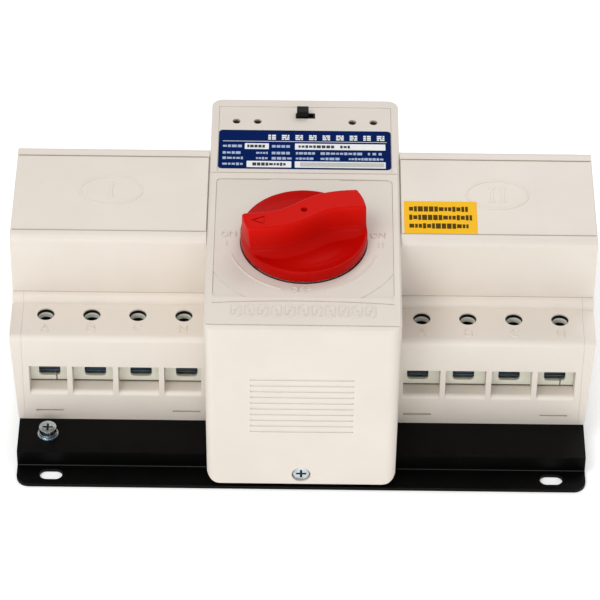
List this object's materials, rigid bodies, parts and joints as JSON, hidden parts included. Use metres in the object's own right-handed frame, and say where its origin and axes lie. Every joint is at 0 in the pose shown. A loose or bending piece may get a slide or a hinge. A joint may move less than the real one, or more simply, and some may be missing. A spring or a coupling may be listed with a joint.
{
  "type": "dual source transfer switch",
  "caption": "Transfer switch on a flanged plate: two four-pole switch units with wire clamps beside a centre cover with a rotary handle, indicator lights and a mode slide.",
  "frame": {"origin": "centre of the base plate's footprint, on the face that lies against the panel", "axes": "+X across the poles from source I (left) to source II (right), +Y from the front edge to the back edge, +Z away from the panel"},
  "size_m": [0.228, 0.145, 0.102],
  "materials": {
    "black_steel": "satin black paint",
    "ivory_plastic": "fine matte moulded",
    "insert_plastic": "matte moulded",
    "red_plastic": "semi-gloss",
    "zinc_steel": "zinc plated",
    "bright_steel": "machined",
    "copper": "bare",
    "bronze": "sintered",
    "black_plastic": "moulded",
    "gear_nylon": "moulded",
    "label_blue": "printed film",
    "label_yellow": "printed film",
    "board_green": "solder mask",
    "relay_blue": "moulded",
    "led_red": "tinted",
    "coil_copper": "enamelled winding",
    "bimetal": "rolled strip"
  },
  "bodies": {
    "frame": {"base_plate": "black_steel", "centre_cover": "ivory_plastic", "dial_plate": "ivory_plastic", "indicator_panel": "ivory_plastic", "rating_label": "label_blue", "caution_label": "label_yellow", "shaft_bushes": "bronze", "lower_frame": "zinc_steel", "upper_frame_plate": "zinc_steel", "frame_spacers": "zinc_steel", "frame_screws": "zinc_steel", "base_screws": "zinc_steel", "gear_motor": "bright_steel", "control_board": "board_green", "relays": "relay_blue", "indicator_leds": "led_red", "slide_switch_body": "black_plastic", "signal_terminal_block": "board_green", "cover_screws": "zinc_steel", "earth_screw": "zinc_steel", "left_housing": "ivory_plastic", "left_end_cap": "ivory_plastic", "left_nose_cover": "ivory_plastic", "left_top_plate": "ivory_plastic", "left_terminal_guards": "insert_plastic", "left_terminal_clamps": "zinc_steel", "left_terminal_screws": "zinc_steel", "left_straps": "copper", "left_arc_chutes": "zinc_steel", "left_magnetic_coils": "coil_copper", "left_bimetals": "bimetal", "right_housing": "ivory_plastic", "right_end_cap": "ivory_plastic", "right_nose_cover": "ivory_plastic", "right_top_plate": "ivory_plastic", "right_terminal_guards": "insert_plastic", "right_terminal_clamps": "zinc_steel", "right_terminal_screws": "zinc_steel", "right_straps": "copper", "right_arc_chutes": "zinc_steel", "right_magnetic_coils": "coil_copper", "right_bimetals": "bimetal"},
    "handle": {"rotary_handle": "red_plastic", "handle_screw": "zinc_steel", "drive_shaft": "bright_steel", "drive_gear": "gear_nylon", "rack_pinion": "bright_steel"},
    "motor_drive": {"motor_pinion": "bronze"},
    "left_rack_bar": {"left_rack": "bright_steel"},
    "right_rack_bar": {"right_rack": "bright_steel"},
    "mode_switch": {"mode_slider": "black_plastic"},
    "left_toggle_set": {"left_toggles": "black_plastic", "left_toggle_shaft": "bright_steel", "left_tie_bar": "bright_steel"},
    "right_toggle_set": {"right_toggles": "black_plastic", "right_toggle_shaft": "bright_steel", "right_tie_bar": "bright_steel"},
    "left_contacts": {"left_contact_arms": "copper"},
    "right_contacts": {"right_contact_arms": "copper"}
  },
  "joints": [
    {"name": "handle_turn", "type": "hinge", "parent": "frame", "child": "handle", "pos_m": [0, -0.0226, 0.088], "axis": [0, 0, 1], "range_deg": [0, 180]},
    {"name": "motor_spin", "type": "hinge", "parent": "frame", "child": "motor_drive", "pos_m": [0, 0.0094, 0.07], "axis": [0, 0, 1], "range_deg": [-541, 1]},
    {"name": "left_rack_slide", "type": "slide", "parent": "frame", "child": "left_rack_bar", "axis": [0, 1, 0], "range_m": [-0.01415, 0]},
    {"name": "right_rack_slide", "type": "slide", "parent": "frame", "child": "right_rack_bar", "axis": [0, 1, 0], "range_m": [0, 0.01415]},
    {"name": "left_toggles_turn", "type": "hinge", "parent": "frame", "child": "left_toggle_set", "pos_m": [-0.0735, 0.0065, 0.058], "axis": [1, 0, 0], "range_deg": [0, 40.1]},
    {"name": "right_toggles_turn", "type": "hinge", "parent": "frame", "child": "right_toggle_set", "pos_m": [0.0735, 0.0065, 0.058], "axis": [1, 0, 0], "range_deg": [-40.1, 0]},
    {"name": "left_contacts_turn", "type": "hinge", "parent": "frame", "child": "left_contacts", "pos_m": [-0.0735, 0.016, 0.036], "axis": [1, 0, 0], "range_deg": [-15.1, 0]},
    {"name": "right_contacts_turn", "type": "hinge", "parent": "frame", "child": "right_contacts", "pos_m": [0.0735, 0.016, 0.036], "axis": [1, 0, 0], "range_deg": [0, 15.1]},
    {"name": "mode_slide", "type": "slide", "parent": "frame", "child": "mode_switch", "axis": [1, 0, 0], "range_m": [0, 0.003]}
  ],
  "couplings": [
    {"joint": "motor_spin", "follows": "handle_turn", "ratio": -3},
    {"joint": "left_rack_slide", "follows": "handle_turn", "m_per_rad": -0.0045},
    {"joint": "right_rack_slide", "follows": "handle_turn", "m_per_rad": 0.0045},
    {"joint": "left_toggles_turn", "follows": "handle_turn", "ratio": 0.22222},
    {"joint": "right_toggles_turn", "follows": "handle_turn", "ratio": -0.22222},
    {"joint": "left_contacts_turn", "follows": "handle_turn", "ratio": -0.083333},
    {"joint": "right_contacts_turn", "follows": "handle_turn", "ratio": 0.083333}
  ]
}
